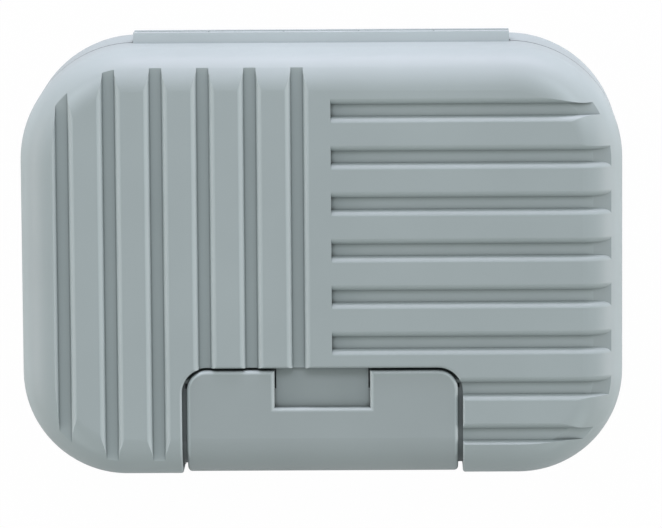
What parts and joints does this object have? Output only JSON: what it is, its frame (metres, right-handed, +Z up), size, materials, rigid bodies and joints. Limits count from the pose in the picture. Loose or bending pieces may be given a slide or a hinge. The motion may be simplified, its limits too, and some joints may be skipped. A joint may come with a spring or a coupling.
{
  "type": "travel soap box",
  "caption": "Rounded hinged soap box with a ribbed lid, a front latch, a rim seal and a loose drain tray.",
  "frame": {"origin": "on the table under the middle of the closed box", "axes": "+X to the right along the box's length, +Y towards the hinge at the back, +Z up out of the ribbed lid face"},
  "size_m": [0.12, 0.0878, 0.04],
  "materials": {
    "shell_plastic": "fine matte, grey-green",
    "tray_plastic": "fine matte, grey-green",
    "seal_silicone": "satin silicone",
    "pin_steel": "drawn wire"
  },
  "bodies": {
    "base": {"base_shell": "shell_plastic"},
    "lid": {"lid_shell": "shell_plastic", "lid_seal": "seal_silicone", "hinge_pin": "pin_steel"},
    "latch": {"latch": "shell_plastic"},
    "tray": {"drain_tray": "tray_plastic"}
  },
  "joints": [
    {"name": "lid_hinge", "type": "hinge", "parent": "base", "child": "lid", "pos_m": [0, 0.04265, 0.02055], "axis": [-1, 0, 0], "range_deg": [0, 110]},
    {"name": "latch_pivot", "type": "hinge", "parent": "lid", "child": "latch", "pos_m": [0, -0.02445, 0.0377], "axis": [-1, 0, 0], "range_deg": [0, 65]},
    {"name": "tray_lift", "type": "slide", "parent": "base", "child": "tray", "axis": [0, 0, 1], "range_m": [0, 0.022]}
  ]
}
